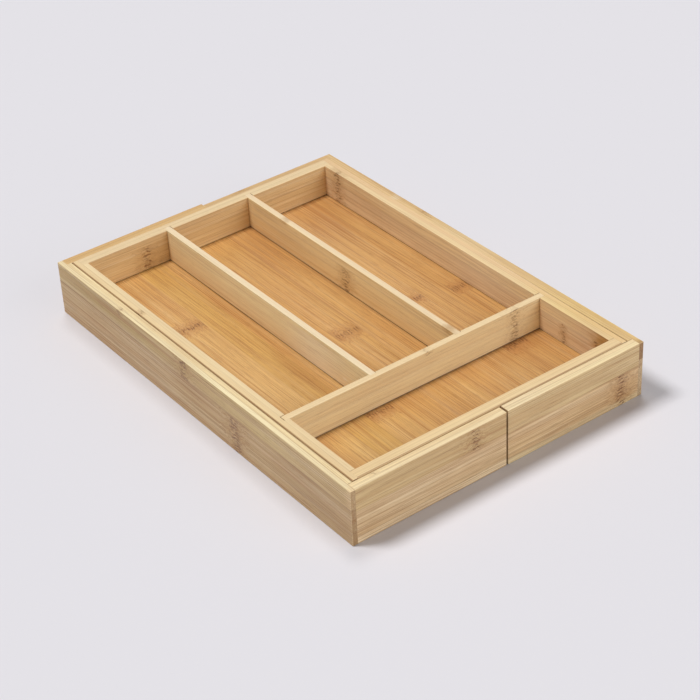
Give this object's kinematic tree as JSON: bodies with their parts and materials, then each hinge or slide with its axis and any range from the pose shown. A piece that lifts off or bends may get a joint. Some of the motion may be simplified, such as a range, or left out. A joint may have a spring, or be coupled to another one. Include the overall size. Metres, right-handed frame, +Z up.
{
  "type": "cutlery tray",
  "caption": "Expandable bamboo cutlery tray: an inner tray divided into long compartments and a wide front one, between two outer trays that slide out sideways.",
  "frame": {"origin": "on the surface that the tray stands on, under the middle of the closed tray", "axes": "+Z up, +Y from the front compartment to the rear wall, +X to the right seen from the front"},
  "size_m": [0.25, 0.355, 0.044],
  "materials": {
    "outer_board": "satin",
    "inner_board": "satin",
    "divider": "satin",
    "tray_floor": "satin",
    "dowel": "satin"
  },
  "bodies": {
    "inner_tray": {"inner_tray_left_wall": "inner_board", "inner_tray_right_wall": "inner_board", "inner_tray_front_wall": "inner_board", "inner_tray_rear_wall": "inner_board", "inner_tray_floor": "tray_floor", "cross_divider": "divider", "long_divider_left": "divider", "long_divider_right": "divider", "guide_pin_front_left": "dowel", "guide_pin_front_right": "dowel", "guide_pin_rear_left": "dowel", "guide_pin_rear_right": "dowel"},
    "left_tray": {"left_tray_side_wall": "outer_board", "left_tray_front_rail": "outer_board", "left_tray_rear_rail": "outer_board", "left_tray_floor": "tray_floor"},
    "right_tray": {"right_tray_side_wall": "outer_board", "right_tray_front_rail": "outer_board", "right_tray_rear_rail": "outer_board", "right_tray_floor": "tray_floor"}
  },
  "joints": [
    {"name": "left_slide", "type": "slide", "parent": "inner_tray", "child": "left_tray", "axis": [-1, 0, 0], "range_m": [0, 0.09]},
    {"name": "right_slide", "type": "slide", "parent": "inner_tray", "child": "right_tray", "axis": [1, 0, 0], "range_m": [0, 0.09]}
  ]
}
